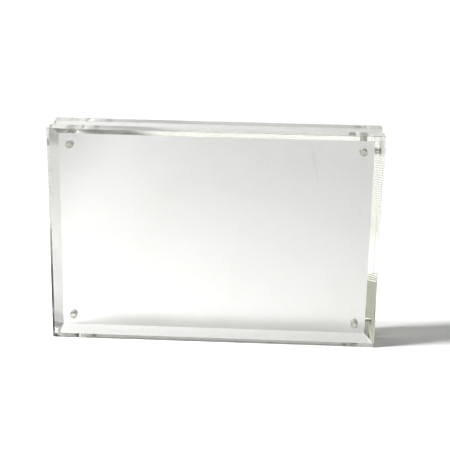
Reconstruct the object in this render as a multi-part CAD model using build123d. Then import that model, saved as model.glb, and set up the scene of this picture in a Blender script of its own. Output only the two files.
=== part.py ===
from build123d import *
import os

# A clear acrylic block frame for one 6 x 4 inch print, in millimetres.
# Two thick blocks stand on edge, face to face, with the print between them, and small
# magnets in blind holes near the corners pull the blocks together.
# X runs along the width, Y from front to back and Z up. The origin is the middle of the
# base, on the surface that the frame stands on, in the plane where the blocks meet.

# Blocks
block_width = 152.4
block_height = 101.6
block_thickness = 12.0
bevel = 4.0  # 45 degree bevel all round each meeting face, which makes the finger groove
edge_break = 0.3  # small polished break on every other outer edge
seam_gap = 0.2  # left between the blocks for the print

# Magnets, one pair near each corner
magnet_diameter = 3.2
magnet_length = 3.2
magnet_edge_break = 0.4
magnet_inset = 9.0  # from the block's outer edges to the magnet's centre
hole_diameter = 3.5

# Clear adhesive that holds each magnet against the floor of its hole
adhesive_thickness = 0.15
adhesive_diameter = 3.4

# Worked out from the sizes above
hole_depth = magnet_length + adhesive_thickness
half_gap = seam_gap / 2
magnet_x = block_width / 2 - magnet_inset
magnet_low = magnet_inset
magnet_high = block_height - magnet_inset

halves = {"front": -1, "back": 1}  # the side of the meeting plane each half is on
corners = {
    "top_left": (-magnet_x, magnet_high),
    "top_right": (magnet_x, magnet_high),
    "bottom_left": (-magnet_x, magnet_low),
    "bottom_right": (magnet_x, magnet_low),
}


def disc_along_y(diameter, length, x, z, start, side):
    """A round disc whose axis is Y, from start away from the meeting plane."""
    middle = side * (start + length / 2)
    return Pos(x, middle, z) * Rot(X=90) * Cylinder(diameter / 2, length)


def make_block(side):
    """One block, with its bevels, its polished edges and its four blind holes."""
    middle = side * (half_gap + block_thickness / 2)
    block = Pos(0, middle, block_height / 2) * Box(block_width, block_thickness, block_height)
    faces_by_depth = block.faces().sort_by(Axis.Y)
    meeting_face = faces_by_depth[-1] if side < 0 else faces_by_depth[0]
    block = chamfer(meeting_face.edges(), bevel)

    faces_by_depth = block.faces().sort_by(Axis.Y)
    outer_face = faces_by_depth[0] if side < 0 else faces_by_depth[-1]
    short_edges = block.edges().filter_by(Axis.Y)
    block = chamfer(outer_face.edges() + short_edges, edge_break)

    for x, z in corners.values():
        block -= disc_along_y(hole_diameter, hole_depth, x, z, half_gap, side)
    return block


def make_magnet(side, x, z):
    """A disc magnet, flush with the meeting face of its block."""
    magnet = disc_along_y(magnet_diameter, magnet_length, x, z, half_gap, side)
    rims = magnet.edges().filter_by(GeomType.CIRCLE)
    return chamfer(rims, magnet_edge_break)


def make_adhesive(side, x, z):
    """The film of adhesive between a magnet and the floor of its hole."""
    start = half_gap + magnet_length
    return disc_along_y(adhesive_diameter, adhesive_thickness, x, z, start, side)


os.makedirs("parts", exist_ok=True)
for half, side in halves.items():
    export_step(make_block(side), f"parts/{half}_block.step")
    for corner, (x, z) in corners.items():
        export_step(make_magnet(side, x, z), f"parts/{half}_magnet_{corner}.step")
        export_step(make_adhesive(side, x, z), f"parts/{half}_adhesive_{corner}.step")
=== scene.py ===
import math
import random

import bmesh
import bpy
from mathutils import Matrix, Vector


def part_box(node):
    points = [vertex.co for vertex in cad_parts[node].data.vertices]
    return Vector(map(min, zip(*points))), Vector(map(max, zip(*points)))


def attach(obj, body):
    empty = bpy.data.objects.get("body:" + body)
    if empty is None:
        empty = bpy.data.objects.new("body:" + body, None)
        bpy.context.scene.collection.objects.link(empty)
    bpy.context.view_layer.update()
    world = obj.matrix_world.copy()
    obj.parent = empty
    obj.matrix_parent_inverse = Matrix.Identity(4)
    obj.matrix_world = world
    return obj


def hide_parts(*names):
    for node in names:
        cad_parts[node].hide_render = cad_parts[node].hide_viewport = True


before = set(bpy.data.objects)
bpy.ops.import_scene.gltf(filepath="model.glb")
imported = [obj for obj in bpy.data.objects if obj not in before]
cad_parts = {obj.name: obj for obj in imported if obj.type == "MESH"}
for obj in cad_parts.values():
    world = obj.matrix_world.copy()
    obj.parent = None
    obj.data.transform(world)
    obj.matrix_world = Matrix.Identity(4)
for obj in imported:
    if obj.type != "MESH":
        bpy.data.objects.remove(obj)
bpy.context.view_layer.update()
mm = 0.001
random.seed(7)


def link(tree, output, socket):
    tree.links.new(output, socket)


def feed(tree, socket, value):
    # a number is set on the socket itself, anything else is linked to it
    if isinstance(value, (int, float, tuple)):
        socket.default_value = value
    else:
        tree.links.new(value, socket)


def mathNode(tree, operation, *values):
    node = tree.nodes.new("ShaderNodeMath")
    node.operation = operation
    for socket, value in zip(node.inputs, values):
        feed(tree, socket, value)
    return node.outputs["Value"]


def vectorMath(tree, operation, *values):
    node = tree.nodes.new("ShaderNodeVectorMath")
    node.operation = operation
    for socket, value in zip(node.inputs, values):
        feed(tree, socket, value)
    return node.outputs["Vector"]


def fade(tree, value, start, end, low, high):
    # a smooth step from low at start to high at end
    node = tree.nodes.new("ShaderNodeMapRange")
    node.interpolation_type = "SMOOTHSTEP"
    labels = ("Value", "From Min", "From Max", "To Min", "To Max")
    for label, number in zip(labels, (value, start, end, low, high)):
        feed(tree, node.inputs[label], number)
    return node.outputs["Result"]


def noise(tree, vector, scale, detail=2.0, roughness=0.5):
    node = tree.nodes.new("ShaderNodeTexNoise")
    values = {"Vector": vector, "Scale": scale, "Detail": detail, "Roughness": roughness}
    for label, value in values.items():
        feed(tree, node.inputs[label], value)
    return node.outputs["Fac"]


def splitXYZ(tree, vector):
    node = tree.nodes.new("ShaderNodeSeparateXYZ")
    link(tree, vector, node.inputs["Vector"])
    return node.outputs["X"], node.outputs["Y"], node.outputs["Z"]


def newGroup(name, outputs, **inputs):
    # every group takes a place, then the numbers given here with their usual values
    group = bpy.data.node_groups.new(name, "ShaderNodeTree")
    group.interface.new_socket(name="Vector", in_out="INPUT", socket_type="NodeSocketVector")
    for label, value in inputs.items():
        socket = group.interface.new_socket(name=label, in_out="INPUT", socket_type="NodeSocketFloat")
        socket.default_value = value
    for label in outputs:
        group.interface.new_socket(name=label, in_out="OUTPUT", socket_type="NodeSocketFloat")
    return group, group.nodes.new("NodeGroupInput"), group.nodes.new("NodeGroupOutput")


def placeGroup(tree, group, **values):
    node = tree.nodes.new("ShaderNodeGroup")
    node.node_tree = group
    for label, value in values.items():
        feed(tree, node.inputs[label], value)
    return node.outputs


scratchPattern = {
    "directions": ((0.35, 0.05), (1.25, 0.07), (2.3, 0.04)),   # (turn in radians, stretch)
    "bendScale": 90.0,
    "bend": 3.0,                # how far the hairlines bend
    "width": 0.012,             # as a share of their spacing
    "patchScale": 420.0,
    "patchStart": 0.6, "patchEnd": 0.7,   # higher thins the hairlines out
}


def makeFineScratches():
    # hairline scratches: long thin lines turned three ways, thinned out by a patchy mask
    pattern = scratchPattern
    group, given, result = newGroup("fineScratches", ("Height",), Spacing=0.004, Amount=0.5)
    total = None
    for turn, stretch in pattern["directions"]:
        spin = group.nodes.new("ShaderNodeVectorRotate")
        spin.rotation_type = "Y_AXIS"
        spin.inputs["Angle"].default_value = turn
        link(group, given.outputs["Vector"], spin.inputs["Vector"])
        long = vectorMath(group, "MULTIPLY", spin.outputs["Vector"], (stretch, 1.0, 1.0))
        bent = noise(group, long, pattern["bendScale"], 1.0)
        across = splitXYZ(group, spin.outputs["Vector"])[2]
        wave = mathNode(group, "DIVIDE", across, given.outputs["Spacing"])
        wave = mathNode(group, "ADD", wave, mathNode(group, "MULTIPLY", bent, pattern["bend"]))
        tooth = mathNode(group, "PINGPONG", wave, 1.0)
        line = fade(group, tooth, 0.0, pattern["width"], 1.0, 0.0)
        patch = noise(group, long, pattern["patchScale"], 2.0, 0.7)
        patch = fade(group, patch, pattern["patchStart"], pattern["patchEnd"], 0.0, 1.0)
        line = mathNode(group, "MULTIPLY", line, patch)
        total = line if total is None else mathNode(group, "MAXIMUM", total, line)
    total = mathNode(group, "MULTIPLY", total, given.outputs["Amount"])
    link(group, mathNode(group, "MULTIPLY", total, -1.0), result.inputs["Height"])
    return group


smudgePattern = {
    "fineScale": 9.0,           # how much finer the fine part is than the broad part
    "fineShare": 0.25,
    "start": 0.45, "end": 0.7,
}


def makeSmudge():
    # soft uneven haze from handling and wiping
    pattern = smudgePattern
    group, given, result = newGroup("smudge", ("Value",), Scale=60.0, Low=0.0, High=0.1)
    place, scale = given.outputs["Vector"], given.outputs["Scale"]
    broad = noise(group, place, scale, 4.0, 0.65)
    fine = noise(group, place, mathNode(group, "MULTIPLY", scale, pattern["fineScale"]), 2.0)
    broad = mathNode(group, "MULTIPLY", broad, 1 - pattern["fineShare"])
    both = mathNode(group, "MULTIPLY_ADD", fine, pattern["fineShare"], broad)
    low, high = given.outputs["Low"], given.outputs["High"]
    haze = fade(group, both, pattern["start"], pattern["end"], low, high)
    link(group, haze, result.inputs["Value"])
    return group


def makeUnevenness():
    # the slow unevenness of a polished, plated or squeezed surface
    group, given, result = newGroup("unevenness", ("Height",), Scale=80.0, Depth=1.0)
    height = noise(group, given.outputs["Vector"], given.outputs["Scale"], 3.0)
    link(group, mathNode(group, "MULTIPLY", height, given.outputs["Depth"]), result.inputs["Height"])
    return group


def newMaterial(name):
    material = bpy.data.materials.new(name)
    material.use_nodes = True
    tree = material.node_tree
    tree.nodes.clear()
    output = tree.nodes.new("ShaderNodeOutputMaterial")
    surface = tree.nodes.new("ShaderNodeBsdfPrincipled")
    link(tree, surface.outputs["BSDF"], output.inputs["Surface"])
    return material, tree, surface, output


def objectPlace(tree):
    return tree.nodes.new("ShaderNodeTexCoord").outputs["Object"]


def addBump(tree, surface, height):
    # height is in metres
    bump = tree.nodes.new("ShaderNodeBump")
    bump.inputs["Strength"].default_value = 1.0
    bump.inputs["Distance"].default_value = 1.0
    link(tree, height, bump.inputs["Height"])
    link(tree, bump.outputs["Normal"], surface.inputs["Normal"])


def mixColor(tree, share, first, second):
    node = tree.nodes.new("ShaderNodeMix")
    node.data_type = "RGBA"
    # the colour sockets come after those for numbers and vectors
    for index, value in ((0, share), (6, first), (7, second)):
        feed(tree, node.inputs[index], value)
    return node.outputs[2]


acrylicLook = {
    "ior": 1.49,
    "tint": (0.79, 0.792, 0.788, 1),       # what each face lets through
    "hazeTint": (0.77, 0.773, 0.765, 1),   # the same where it has been handled
    "bevelTint": (0.80, 0.805, 0.79, 1),   # the bevels, which are cut
    "grooveTint": (0.42, 0.425, 0.41, 1),  # painted shade in the groove along the top, and the colour of the faint streaks
    "edgeTint": (0.72, 0.722, 0.715, 1),   # the long narrow faces are polished
    "absorbColor": (0.92, 0.925, 0.895, 1),
    "absorbDensity": 16.0,
    "cutPitch": 1.1 * mm,                  # spacing of the cutter's ripples along a bevel
    "cutDepth": 0.014 * mm,
    "faintCut": 0.03,                      # share of that depth away from the rippled stretches
    "cutWander": 1.0,                      # how uneven the spacing is, in radians
    "cutWanderScale": 55.0,
    "lineDepth": 0.0004 * mm,              # polishing lines along the narrow faces
    "lineScale": (12.0, 4200.0, 12.0),
    "scratchDepth": 0.0006 * mm,
    "scratchSpacing": 0.021,
    "scratchAmount": 0.8,
    "swellDepth": 0.001 * mm,
    "swellScale": 26.0,
    "hazeScale": 45.0, "hazeHigh": 0.012,  # roughness where it has been handled most
    "tintScale": 30.0,
    "flatStart": 0.85, "flatEnd": 0.98,    # how squarely a face points along an axis to be flat
    "grooveStart": 0.09, "grooveEnd": 0.096,   # heights over which the painted groove shade comes in
    # the share of a lamp's light that goes on through each kind of face
    "passBevel": 0.45, "passFace": 0.84, "passFrontLeft": 0.06,
    "passLeftEnd": 0.65, "passRightEnd": 0.0, "passEdge": 1.0,
    "passRise": 2.5,                       # per metre towards the right, on the front face
    "frontLeftStart": -0.036, "frontLeftEnd": -0.054, "frontFrom": -0.011,
    # faint streaks on the outer face, as (x, z, x, z, width, strength)
    "streaks": (
        (0.0432, 0.0965, 0.0482, 0.0735, 0.0006, 0.09),
        (0.0250, 0.0800, 0.0270, 0.0750, 0.0008, 0.10),
        (0.0335, 0.0730, 0.0400, 0.0700, 0.0012, 0.05),
    ),
}


# where the cutter chattered, as (on an upright bevel, from, to) along x or up z
chatter = (
    (True, 0.068, 0.0905),
    (True, 0.031, 0.0335),
    (False, -0.0505, -0.0415),
)
chatterFade = 0.002     # over which each stretch comes and goes
chatterAbove = 0.09     # the stretch along x is only on the bevel along the top


def rippledStretches(tree, sideways, x, y, z):
    # only the front block has them, on its top and its right end
    total = None
    edge = chatterFade
    for upright, start, end in chatter:
        along, kind = (z, (0.4, 0.6)) if upright else (x, (0.6, 0.4))
        comes = fade(tree, along, start - edge, start + edge, 0.0, 1.0)
        goes = fade(tree, along, end - edge, end + edge, 1.0, 0.0)
        stretch = mathNode(tree, "MULTIPLY", comes, goes)
        onKind = fade(tree, sideways, kind[0], kind[1], 0.0, 1.0)
        stretch = mathNode(tree, "MULTIPLY", stretch, onKind)
        side, limit = (x, 0.0) if upright else (z, chatterAbove)
        stretch = mathNode(tree, "MULTIPLY", stretch, mathNode(tree, "GREATER_THAN", side, limit))
        total = stretch if total is None else mathNode(tree, "MAXIMUM", total, stretch)
    return mathNode(tree, "MULTIPLY", total, mathNode(tree, "LESS_THAN", y, 0.0))


def streakMask(tree, x, z):
    # soft straight streaks, fading out towards both ends
    total = None
    for startX, startZ, endX, endZ, width, strength in acrylicLook["streaks"]:
        length = math.hypot(endX - startX, endZ - startZ)
        dirX, dirZ = (endX - startX) / length, (endZ - startZ) / length
        along = mathNode(tree, "MULTIPLY_ADD", x, dirX, -(startX * dirX + startZ * dirZ))
        along = mathNode(tree, "MULTIPLY_ADD", z, dirZ, along)
        across = mathNode(tree, "MULTIPLY_ADD", x, -dirZ, startX * dirZ - startZ * dirX)
        across = mathNode(tree, "ABSOLUTE", mathNode(tree, "MULTIPLY_ADD", z, dirX, across))
        streak = fade(tree, across, 0.0, width, strength, 0.0)
        streak = mathNode(tree, "MULTIPLY", streak, fade(tree, along, 0.0, length * 0.3, 0.0, 1.0))
        streak = mathNode(tree, "MULTIPLY", streak, fade(tree, along, length * 0.6, length, 1.0, 0.0))
        total = streak if total is None else mathNode(tree, "MAXIMUM", total, streak)
    return total


def passLight(tree, surface, output, share):
    # a lamp's light goes straight on through this surface, dimmed by share
    clear = tree.nodes.new("ShaderNodeBsdfTransparent")
    feed(tree, clear.inputs["Color"], share)
    lightPath = tree.nodes.new("ShaderNodeLightPath")
    mix = tree.nodes.new("ShaderNodeMixShader")
    link(tree, lightPath.outputs["Is Shadow Ray"], mix.inputs["Fac"])
    link(tree, surface.outputs["BSDF"], mix.inputs[1])
    link(tree, clear.outputs["BSDF"], mix.inputs[2])
    link(tree, mix.outputs["Shader"], output.inputs["Surface"])


def makeAcrylic():
    look = acrylicLook
    material, tree, surface, output = newMaterial("clearAcrylic")
    place = objectPlace(tree)
    surface.inputs["Transmission Weight"].default_value = 1
    surface.inputs["IOR"].default_value = look["ior"]

    # which kind of face this is, from the way it looks
    geometry = tree.nodes.new("ShaderNodeNewGeometry")
    facing = vectorMath(tree, "ABSOLUTE", geometry.outputs["True Normal"])
    sideways, depthways, upright = splitXYZ(tree, facing)
    onFace, onEnd, onEdge = [
        fade(tree, value, look["flatStart"], look["flatEnd"], 0.0, 1.0)
        for value in (depthways, sideways, upright)
    ]
    flat = mathNode(tree, "MAXIMUM", mathNode(tree, "MAXIMUM", onFace, onEnd), onEdge)
    onBevel = mathNode(tree, "SUBTRACT", 1.0, flat)

    # cutter ripples cross each bevel and come and go along it
    x, y, z = splitXYZ(tree, place)
    nearEnd = fade(tree, sideways, 0.4, 0.6, 0.0, 1.0)
    along = mathNode(tree, "MULTIPLY", mathNode(tree, "SUBTRACT", z, x), nearEnd)
    along = mathNode(tree, "ADD", x, along)
    wander = noise(tree, place, look["cutWanderScale"], 2.0)
    turns = mathNode(tree, "MULTIPLY", along, 2 * math.pi / look["cutPitch"])
    phase = mathNode(tree, "MULTIPLY_ADD", wander, look["cutWander"], turns)
    ripple = mathNode(tree, "SINE", phase)
    stretches = rippledStretches(tree, sideways, x, y, z)
    patches = mathNode(tree, "MAXIMUM", stretches, look["faintCut"])
    ripple = mathNode(tree, "MULTIPLY", mathNode(tree, "MULTIPLY", ripple, patches), onBevel)
    height = mathNode(tree, "MULTIPLY", ripple, look["cutDepth"])

    # faint polishing lines run lengthwise on every narrow face
    across = vectorMath(tree, "MULTIPLY", place, look["lineScale"])
    lines = noise(tree, across, 1.0, 2.0)
    lines = mathNode(tree, "MULTIPLY", lines, mathNode(tree, "SUBTRACT", 1.0, onFace))
    lines = mathNode(tree, "MULTIPLY", lines, mathNode(tree, "SUBTRACT", 1.0, stretches))
    height = mathNode(tree, "MULTIPLY_ADD", lines, look["lineDepth"], height)

    scratch = placeGroup(
        tree, fineScratches, Vector=place, Spacing=look["scratchSpacing"], Amount=look["scratchAmount"]
    )
    height = mathNode(tree, "MULTIPLY_ADD", scratch["Height"], look["scratchDepth"], height)
    swell = placeGroup(
        tree, unevenness, Vector=place, Scale=look["swellScale"], Depth=look["swellDepth"]
    )
    height = mathNode(tree, "ADD", height, swell["Height"])
    addBump(tree, surface, height)

    haze = placeGroup(
        tree, smudge, Vector=place, Scale=look["hazeScale"], Low=0.0, High=look["hazeHigh"]
    )
    link(tree, haze["Value"], surface.inputs["Roughness"])
    share = placeGroup(tree, smudge, Vector=place, Scale=look["tintScale"], Low=0.0, High=1.0)
    tint = mixColor(tree, share["Value"], look["tint"], look["hazeTint"])
    tint = mixColor(tree, streakMask(tree, x, z), tint, look["grooveTint"])
    tint = mixColor(tree, onEdge, tint, look["edgeTint"])
    # painted shade: the bevels high up, in the groove along the top, are darkened
    grooveShade = fade(tree, z, look["grooveStart"], look["grooveEnd"], 0.0, 1.0)
    bevelTintWithGrooveShade = mixColor(tree, grooveShade, look["bevelTint"], look["grooveTint"])
    link(tree, mixColor(tree, onBevel, tint, bevelTintWithGrooveShade), surface.inputs["Base Color"])

    absorb = tree.nodes.new("ShaderNodeVolumeAbsorption")
    absorb.inputs["Color"].default_value = look["absorbColor"]
    absorb.inputs["Density"].default_value = look["absorbDensity"]
    link(tree, absorb.outputs["Volume"], output.inputs["Volume"])

    # lamps shine on through the block, dimmed by the faces that they cross
    bevelShare, faceShare = look["passBevel"], look["passFace"]
    onFront = mathNode(tree, "LESS_THAN", y, look["frontFrom"])
    facePass = fade(
        tree, x, look["frontLeftEnd"], look["frontLeftStart"], look["passFrontLeft"], faceShare
    )
    rightwards = mathNode(tree, "MAXIMUM", x, 0.0)
    facePass = mathNode(tree, "MULTIPLY_ADD", rightwards, look["passRise"], facePass)
    facePass = mathNode(tree, "MULTIPLY", mathNode(tree, "SUBTRACT", facePass, faceShare), onFront)
    facePass = mathNode(tree, "ADD", facePass, faceShare - bevelShare)
    passing = mathNode(tree, "MULTIPLY_ADD", onFace, facePass, bevelShare)
    passing = mathNode(tree, "MULTIPLY_ADD", onEdge, look["passEdge"] - bevelShare, passing)
    endPass = fade(tree, x, -0.01, 0.01, look["passLeftEnd"], look["passRightEnd"])
    change = mathNode(tree, "SUBTRACT", endPass, passing)
    passing = mathNode(tree, "MULTIPLY_ADD", nearEnd, change, passing)
    passLight(tree, surface, output, passing)
    return material


boreLook = {
    "tint": (0.93, 0.93, 0.91, 1),
    "chalky": (0.78, 0.78, 0.75, 1),
    "chalkScale": 900.0,
    "corner": (0.03, 0.03, 0.026, 1),   # painted shade round the floor of the hole
    "lowCorner": 0.35,                  # how much of the painted shade lies on the lower side
    "ior": 1.02,               # acrylic against adhesive, so it hardly bends light
    "roughScale": 700.0, "roughLow": 0.03, "roughHigh": 0.2,
    "ringPitch": 0.35 * mm,    # spacing of the drill's rings
    "ringDepth": 0.006 * mm,
    "unevenScale": 1500.0,
    "unevenness": 1.5,         # beside the rings
    "pass": (0.9, 0.9, 0.9, 1),
}


def makeBore():
    look = boreLook
    material, tree, surface, output = newMaterial("gluedBore")
    place = objectPlace(tree)
    surface.inputs["Transmission Weight"].default_value = 1
    surface.inputs["IOR"].default_value = look["ior"]
    chalk = placeGroup(tree, smudge, Vector=place, Scale=look["chalkScale"], Low=0.0, High=1.0)["Value"]
    tint = mixColor(tree, chalk, look["tint"], look["chalky"])
    geometry = tree.nodes.new("ShaderNodeNewGeometry")
    depthways = splitXYZ(tree, vectorMath(tree, "ABSOLUTE", geometry.outputs["Normal"]))[1]
    rise = splitXYZ(tree, geometry.outputs["Normal"])[2]
    # the round corner is between the wall, which faces sideways, and the floor, which faces along y
    offWall = fade(tree, depthways, 0.02, 0.15, 0.0, 1.0)
    offFloor = fade(tree, depthways, 0.4, 0.75, 1.0, 0.0)
    # painted shade in that round corner, with less of it on the lower side
    cornerShade = mathNode(tree, "MULTIPLY", offWall, offFloor)
    cornerShade = mathNode(tree, "MULTIPLY", cornerShade, fade(tree, rise, -0.3, 0.3, look["lowCorner"], 1.0))
    link(tree, mixColor(tree, cornerShade, tint, look["corner"]), surface.inputs["Base Color"])
    rough = placeGroup(
        tree, smudge, Vector=place, Scale=look["roughScale"], Low=look["roughLow"], High=look["roughHigh"]
    )
    link(tree, rough["Value"], surface.inputs["Roughness"])
    y = splitXYZ(tree, place)[1]
    rings = mathNode(tree, "SINE", mathNode(tree, "MULTIPLY", y, 2 * math.pi / look["ringPitch"]))
    uneven = placeGroup(
        tree, unevenness, Vector=place, Scale=look["unevenScale"], Depth=look["unevenness"]
    )
    height = mathNode(tree, "ADD", rings, uneven["Height"])
    height = mathNode(tree, "MULTIPLY", height, look["ringDepth"])
    addBump(tree, surface, height)
    passLight(tree, surface, output, look["pass"])
    return material


nickelLook = {
    "bright": (0.74, 0.735, 0.70, 1),
    "dull": (0.52, 0.515, 0.49, 1),
    "patchScale": 700.0,
    "side": (0.58, 0.575, 0.54, 1),   # painted shade: the sides, down in the hole, are darker
    "roughScale": 900.0, "roughLow": 0.12, "roughHigh": 0.28,
    "peelScale": 1500.0, "peelDepth": 0.0015 * mm,
    "scratchSpacing": 0.7 * mm, "scratchDepth": 0.003 * mm,
}


def makeNickel():
    look = nickelLook
    material, tree, surface, output = newMaterial("nickelPlating")
    place = objectPlace(tree)
    surface.inputs["Metallic"].default_value = 1
    patch = placeGroup(tree, smudge, Vector=place, Scale=look["patchScale"], Low=0.0, High=1.0)["Value"]
    plated = mixColor(tree, patch, look["bright"], look["dull"])
    geometry = tree.nodes.new("ShaderNodeNewGeometry")
    depthways = splitXYZ(tree, vectorMath(tree, "ABSOLUTE", geometry.outputs["Normal"]))[1]
    # painted shade: the sides are darker than the ends
    sideShade = fade(tree, depthways, 0.1, 0.45, 1.0, 0.0)
    link(tree, mixColor(tree, sideShade, plated, look["side"]), surface.inputs["Base Color"])
    rough = placeGroup(
        tree, smudge, Vector=place, Scale=look["roughScale"], Low=look["roughLow"], High=look["roughHigh"]
    )
    link(tree, rough["Value"], surface.inputs["Roughness"])
    peel = placeGroup(tree, unevenness, Vector=place, Scale=look["peelScale"], Depth=look["peelDepth"])
    scratch = placeGroup(
        tree, fineScratches, Vector=place, Spacing=look["scratchSpacing"], Amount=1.0
    )
    height = mathNode(tree, "MULTIPLY_ADD", scratch["Height"], look["scratchDepth"], peel["Height"])
    addBump(tree, surface, height)
    return material


adhesiveLook = {
    "clear": (0.95, 0.945, 0.93, 1),
    "cloudy": (0.68, 0.67, 0.62, 1),
    "cloudScale": 800.0,
    "ior": 1.03,               # as it lies, between acrylic and plating
    "roughScale": 500.0, "roughLow": 0.02, "roughHigh": 0.2,
    "waveScale": 1200.0, "waveDepth": 0.01 * mm,
    "pass": (0.9, 0.9, 0.88, 1),
}


def makeAdhesiveFilm():
    look = adhesiveLook
    material, tree, surface, output = newMaterial("clearAdhesive")
    place = objectPlace(tree)
    surface.inputs["Transmission Weight"].default_value = 1
    surface.inputs["IOR"].default_value = look["ior"]
    cloud = placeGroup(tree, smudge, Vector=place, Scale=look["cloudScale"], Low=0.0, High=1.0)["Value"]
    link(tree, mixColor(tree, cloud, look["clear"], look["cloudy"]), surface.inputs["Base Color"])
    rough = placeGroup(
        tree, smudge, Vector=place, Scale=look["roughScale"], Low=look["roughLow"], High=look["roughHigh"]
    )
    link(tree, rough["Value"], surface.inputs["Roughness"])
    wavy = placeGroup(tree, unevenness, Vector=place, Scale=look["waveScale"], Depth=look["waveDepth"])
    addBump(tree, surface, wavy["Height"])
    passLight(tree, surface, output, look["pass"])
    return material


def arc(centreU, centreV, radius, startDegrees, endDegrees, steps):
    # points of an arc as (u, v, normal u, normal v)
    points = []
    for step in range(steps + 1):
        angle = math.radians(startDegrees + (endDegrees - startDegrees) * step / steps)
        c, s = math.cos(angle), math.sin(angle)
        points.append((centreU + radius * c, centreV + radius * s, c, s))
    return points


class Shell:
    # collects vertices with the exact normal of each, then makes one smooth-shaded piece

    def __init__(self):
        self.bm = bmesh.new()
        self.normals = []

    def vertex(self, place, normal):
        self.normals.append(normal)
        return self.bm.verts.new(place)

    def bridge(self, first, second):
        for i in range(len(first)):
            j = (i + 1) % len(first)
            self.bm.faces.new((first[i], first[j], second[j], second[i]))

    def loop(self, ring):
        return [self.bm.edges.get((ring[i], ring[(i + 1) % len(ring)])) for i in range(len(ring))]

    def lathe(self, centre, startY, direction, profile, sides, wobble=None):
        # rings round an axis along Y; profile is (radius, distance along, normal out, normal along)
        rings = []
        for radius, along, normalOut, normalAlong in profile:
            ring = []
            for k in range(sides):
                angle = 2 * math.pi * k / sides
                c, s = math.cos(angle), math.sin(angle)
                r = radius * (wobble(angle) if wobble else 1.0)
                place = (centre[0] + r * c, startY + direction * along, centre[1] + r * s)
                ring.append(self.vertex(place, (normalOut * c, direction * normalAlong, normalOut * s)))
            rings.append(ring)
        for first, second in zip(rings, rings[1:]):
            self.bridge(first, second)
        return rings

    def finish(self, name, *materials):
        bmesh.ops.recalc_face_normals(self.bm, faces=self.bm.faces)
        for face in self.bm.faces:
            face.smooth = True
        mesh = bpy.data.meshes.new(name)
        self.bm.to_mesh(mesh)
        self.bm.free()
        mesh.normals_split_custom_set_from_vertices(self.normals)
        for material in materials:
            mesh.materials.append(material)
        piece = bpy.data.objects.new(name, mesh)
        bpy.context.scene.collection.objects.link(piece)
        return piece


def camelName(node):
    words = node.split("_")
    return words[0] + "".join(word.capitalize() for word in words[1:])


def settle(piece, node, half):
    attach(piece, f"{half}_half")
    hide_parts(node)
    return piece


def middle(node):
    low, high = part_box(node)
    return ((low.x + high.x) / 2, (low.z + high.z) / 2)


blockShape = {
    "edgeRound": 0.3 * mm,     # round on the outer face's edges and the four short edges
    "bevel": 4.0 * mm,         # 45 degree bevel round the meeting face
    "crispRound": 0.05 * mm,   # slight round where the bevel starts and ends
    "mitreRound": 0.04 * mm,   # slight round on the bevels' mitred corners
    "roundSteps": 5,
    "holeRadius": 1.75 * mm,
    "holeDepth": 3.35 * mm,
    "rimRound": 0.06 * mm,     # round the mouth of a magnet's hole
    "floorRound": 0.45 * mm,   # between the wall and the floor of a magnet's hole
    "holeSides": 96,
}


def blockProfile(depth):
    # from the outer face to the meeting face: (outwards, distance in, normal outwards, normal in)
    shape = blockShape
    edge, bevel = shape["edgeRound"], shape["bevel"]
    crisp, steps = shape["crispRound"], shape["roundSteps"]
    tangent = crisp * math.tan(math.radians(22.5))
    profile = arc(-edge, edge, edge, -90, 0, steps)
    profile += arc(-crisp, depth - bevel - tangent, crisp, 0, 45, steps)
    profile += arc(-bevel - tangent, depth - crisp, crisp, 45, 90, steps)
    return profile


def roundedOutline(low, high, inset):
    # the block's outline seen from the front, drawn in by inset: (x, z, normal x, normal z)
    radius = max(blockShape["edgeRound"] - inset, blockShape["mitreRound"])
    reach = inset + radius
    corners = (
        (high.x - reach, low.z + reach, -90),
        (high.x - reach, high.z - reach, 0),
        (low.x + reach, high.z - reach, 90),
        (low.x + reach, low.z + reach, 180),
    )
    outline = []
    for x, z, start in corners:
        outline += arc(x, z, radius, start, start + 90, blockShape["roundSteps"])
    return outline


def holeProfile():
    # from the meeting face down the hole: (radius, depth, normal out, normal down)
    radius, depth = blockShape["holeRadius"], blockShape["holeDepth"]
    rim, floorRound = blockShape["rimRound"], blockShape["floorRound"]
    profile = arc(radius + rim, rim, rim, -90, -180, 4)
    # the hole's own surface faces the other way from the arc's
    for u, v, nu, nv in arc(radius - floorRound, depth - floorRound, floorRound, 0, 90, 10):
        profile.append((u, v, -nu, -nv))
    return profile


def makeBlock(half):
    node = f"{half}_block"
    low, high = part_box(node)
    isFront = half == "front"
    outerY, meetingY = (low.y, high.y) if isFront else (high.y, low.y)
    inward = 1 if isFront else -1
    shell = Shell()
    rings = []
    for outwards, distance, normalOut, normalIn in blockProfile(high.y - low.y):
        ring = []
        for x, z, normalX, normalZ in roundedOutline(low, high, -outwards):
            normal = (normalOut * normalX, inward * normalIn, normalOut * normalZ)
            ring.append(shell.vertex((x, outerY + inward * distance, z), normal))
        rings.append(ring)
    for first, second in zip(rings, rings[1:]):
        shell.bridge(first, second)
    shell.bm.faces.new(rings[0])
    border = shell.loop(rings[-1])
    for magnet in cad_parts:
        if magnet.startswith(f"{half}_magnet"):
            known = set(shell.bm.faces)
            centre, sides = middle(magnet), blockShape["holeSides"]
            holeRings = shell.lathe(centre, meetingY, -inward, holeProfile(), sides)
            shell.bm.faces.new(holeRings[-1])
            for face in shell.bm.faces:
                if face not in known:
                    face.material_index = 1
            border += shell.loop(holeRings[0])
    bmesh.ops.triangle_fill(shell.bm, use_beauty=True, edges=border)
    piece = shell.finish(f"{half}ClearBlock", clearAcrylic, gluedBore)
    return settle(piece, node, half)


magnetShape = {"rimRound": 0.4 * mm, "steps": 8, "sides": 72}


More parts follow.
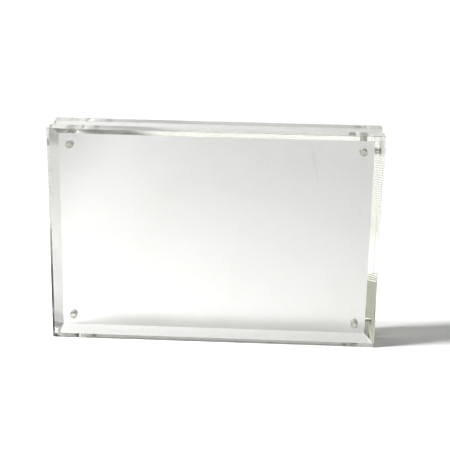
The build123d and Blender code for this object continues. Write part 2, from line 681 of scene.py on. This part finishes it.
def makeMagnet(node, half):
    low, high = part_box(node)
    radius, length = (high.x - low.x) / 2, high.y - low.y
    rim, steps = magnetShape["rimRound"], magnetShape["steps"]
    profile = arc(radius - rim, rim, rim, -90, 0, steps)
    profile += arc(radius - rim, length - rim, rim, 0, 90, steps)
    shell = Shell()
    rings = shell.lathe(middle(node), low.y, 1, profile, magnetShape["sides"])
    shell.bm.faces.new(rings[0])
    shell.bm.faces.new(rings[-1])
    return settle(shell.finish(camelName(node), nickelPlating), node, half)


filmShape = {
    "gap": 0.01 * mm,          # kept clear of the hole's floor and of the magnet
    "radius": 1.5 * mm,
    "wobble": 0.06,            # how far the squeezed edge wanders, as a share of the radius
    "edgeRound": 0.05 * mm,
    "roundSteps": 4,
    "sides": 72,
}


def makeFilm(node, half):
    shape = filmShape
    low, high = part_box(node)
    thickness = high.y - low.y - 2 * shape["gap"]
    turns = [random.uniform(0, 2 * math.pi) for _ in range(3)]

    def wobble(angle):
        swing = sum(math.sin((k + 2) * angle + turn) for k, turn in enumerate(turns)) / 3
        return 1 + shape["wobble"] * swing

    edge, steps = shape["edgeRound"], shape["roundSteps"]
    profile = arc(shape["radius"] - edge, edge, edge, -90, 0, steps)
    profile += arc(shape["radius"] - edge, thickness - edge, edge, 0, 90, steps)
    shell = Shell()
    rings = shell.lathe(middle(node), low.y + shape["gap"], 1, profile, shape["sides"], wobble)
    shell.bm.faces.new(rings[0])
    shell.bm.faces.new(rings[-1])
    return settle(shell.finish(camelName(node), clearAdhesive), node, half)


fineScratches = makeFineScratches()
smudge = makeSmudge()
unevenness = makeUnevenness()
clearAcrylic = makeAcrylic()
gluedBore = makeBore()
nickelPlating = makeNickel()
clearAdhesive = makeAdhesiveFilm()
print("materials made")

for half in ("front", "back"):
    makeBlock(half)
    for node in sorted(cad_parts):
        if node.startswith(f"{half}_magnet"):
            makeMagnet(node, half)
        if node.startswith(f"{half}_adhesive"):
            makeFilm(node, half)
    print(half, "half made")

floorLook = {
    "radius": 4.0,
    "drop": 0.05 * mm,
    "color": (0.86, 0.86, 0.86, 1),
    # painted shade: dim towards the left, along x
    "shadedColor": (0.57, 0.57, 0.57, 1), "shadeStart": -0.09, "shadeEnd": -0.17,
    # painted light: glows a little towards the right, along x
    "sideStart": 0.12, "sideEnd": 0.45, "sideLift": 0.35,
    # and behind to the left, along x and then y
    "cornerStart": -0.02, "cornerEnd": -0.15, "cornerLift": 0.13,
    "cornerFrom": 0.1, "cornerTo": 0.3,
    # and all round, by the distance from the origin
    "liftStart": 0.13, "liftEnd": 1.0, "lift": 0.9,
    "roughness": 0.9, "shine": 0.1, "sides": 128,
}


def makeFloor():
    look = floorLook
    mesh = bpy.data.meshes.new("floor")
    bm = bmesh.new()
    bmesh.ops.create_circle(bm, cap_ends=True, segments=look["sides"], radius=look["radius"])
    bm.to_mesh(mesh)
    bm.free()
    floor = bpy.data.objects.new("floor", mesh)
    floor.location.z = -look["drop"]
    bpy.context.scene.collection.objects.link(floor)
    material, tree, surface, output = newMaterial("paleFloor")
    x, y, z = splitXYZ(tree, objectPlace(tree))
    # painted shade on the floor towards the left
    shaded = fade(tree, x, look["shadeEnd"], look["shadeStart"], 1.0, 0.0)
    link(tree, mixColor(tree, shaded, look["color"], look["shadedColor"]), surface.inputs["Base Color"])
    surface.inputs["Roughness"].default_value = look["roughness"]
    surface.inputs["Specular IOR Level"].default_value = look["shine"]
    away = tree.nodes.new("ShaderNodeVectorMath")
    away.operation = "LENGTH"
    link(tree, objectPlace(tree), away.inputs[0])
    # painted light: the floor glows more away from the object, towards the right and behind to the left
    surface.inputs["Emission Color"].default_value = (1, 1, 1, 1)
    lift = fade(tree, away.outputs["Value"], look["liftStart"], look["liftEnd"], 0.0, look["lift"])
    side = fade(tree, x, look["sideStart"], look["sideEnd"], 0.0, look["sideLift"])
    lift = mathNode(tree, "ADD", lift, side)
    corner = fade(tree, x, look["cornerEnd"], look["cornerStart"], look["cornerLift"], 0.0)
    back = fade(tree, y, look["cornerFrom"], look["cornerTo"], 0.0, 1.0)
    lift = mathNode(tree, "MULTIPLY_ADD", corner, back, lift)
    link(tree, lift, surface.inputs["Emission Strength"])
    mesh.materials.append(material)


makeFloor()

# brightnesses of the surroundings, and where each starts and ends as parts of a direction
studio = {
    "base": 0.04,
    "behind": 1.06, "behindSpan": (0.25, 0.75),
    "rise": 1.25, "riseSpan": (0.36, 0.5),     # the backdrop brightens upwards
    "topSpan": (0.62, 0.7),                    # and ends here
    "lean": 0.65,              # how much brighter its left end is than its middle
    "left": 0.68, "leftSpan": (-0.9, -0.5),
    "leftColor": (1.0, 1.0, 0.84, 1), "warmSpan": (-0.85, -0.45),
    "horizon": 1.0, "horizonSpan": (0.02, 0.12),
    # a pale ceiling, a little behind: its two ends along y, and its height
    "overhead": 0.72, "overheadNear": (-0.2, -0.1), "overheadFar": (0.42, 0.52),
    "overheadSpan": (0.84, 0.9),
    # a bright strip low on the wall behind the camera: its foot, its top, and its turn
    "front": 0.9, "frontFoot": (0.12, 0.18), "frontTop": (0.34, 0.4), "frontSpan": (-0.85, -0.75),
}


def makeStudio():
    world = bpy.data.worlds.new("studio")
    bpy.context.scene.world = world
    world.use_nodes = True
    tree = world.node_tree
    x, y, z = splitXYZ(tree, tree.nodes.new("ShaderNodeTexCoord").outputs["Generated"])

    def step(value, span, low, high):
        return fade(tree, value, studio[span][0], studio[span][1], low, high)

    behind = step(y, "behindSpan", 0.0, studio["behind"])
    behind = mathNode(tree, "MULTIPLY", behind, mathNode(tree, "MULTIPLY_ADD", x, -2 * studio["lean"], 1.0))
    behind = mathNode(tree, "MULTIPLY", behind, step(z, "riseSpan", 1.0, studio["rise"]))
    behind = mathNode(tree, "MULTIPLY", behind, step(z, "topSpan", 1.0, 0.0))
    near, far = step(y, "overheadNear", 0.0, 1.0), step(y, "overheadFar", 1.0, 0.0)
    overhead = mathNode(tree, "MULTIPLY", near, far)
    overhead = mathNode(tree, "MULTIPLY", overhead, step(z, "overheadSpan", 0.0, studio["overhead"]))
    behind = mathNode(tree, "ADD", behind, overhead)
    foot, top = step(z, "frontFoot", 0.0, 1.0), step(z, "frontTop", 1.0, 0.0)
    front = mathNode(tree, "MULTIPLY", foot, top)
    front = mathNode(tree, "MULTIPLY", step(y, "frontSpan", studio["front"], 0.0), front)
    left = step(x, "leftSpan", studio["left"], 0.0)
    horizon = step(z, "horizonSpan", studio["horizon"], 0.0)
    total = mathNode(tree, "ADD", mathNode(tree, "ADD", behind, left), front)
    total = mathNode(tree, "MAXIMUM", total, horizon)
    background = tree.nodes["Background"]
    warm = step(x, "warmSpan", 1.0, 0.0)
    link(tree, mixColor(tree, warm, (1, 1, 1, 1), studio["leftColor"]), background.inputs["Color"])
    link(tree, mathNode(tree, "ADD", total, studio["base"]), background.inputs["Strength"])


makeStudio()

keyLight = {"position": (-0.263, -0.085, 0.6), "size": 0.11, "power": 8.0}


def makeKeyLight():
    data = bpy.data.lights.new("key", "AREA")
    data.shape = "DISK"
    data.size = keyLight["size"]
    data.energy = keyLight["power"]
    key = bpy.data.objects.new("key", data)
    key.location = keyLight["position"]
    key.visible_transmission = False
    bpy.context.scene.collection.objects.link(key)


makeKeyLight()

cameraPlace = {
    "position": (26.6 * mm, -496.0 * mm, 207.7 * mm),
    "yaw": 0.0443, "pitch": -0.2991, "roll": -0.0170,   # radians
    "lens": 88.4, "sensor": 36,                         # millimetres, as Blender takes them
}


def makeCamera():
    data = bpy.data.cameras.new("camera")
    data.lens = cameraPlace["lens"]
    data.sensor_width = cameraPlace["sensor"]
    data.clip_start = 0.01
    camera = bpy.data.objects.new("camera", data)
    bpy.context.scene.collection.objects.link(camera)
    turn = Matrix.Rotation(cameraPlace["yaw"], 4, "Z") @ Matrix.Rotation(cameraPlace["pitch"], 4, "X")
    turn = turn @ Matrix.Rotation(cameraPlace["roll"], 4, "Y") @ Matrix.Rotation(math.pi / 2, 4, "X")
    camera.matrix_world = Matrix.Translation(cameraPlace["position"]) @ turn
    bpy.context.scene.camera = camera


makeCamera()

scene = bpy.context.scene
scene.view_settings.view_transform = "Standard"
scene.cycles.max_bounces = 32
scene.cycles.transmission_bounces = 24
scene.cycles.glossy_bounces = 12
scene.cycles.diffuse_bounces = 4
scene.cycles.transparent_max_bounces = 24
scene.cycles.blur_glossy = 0
print("stage, lights and camera made")
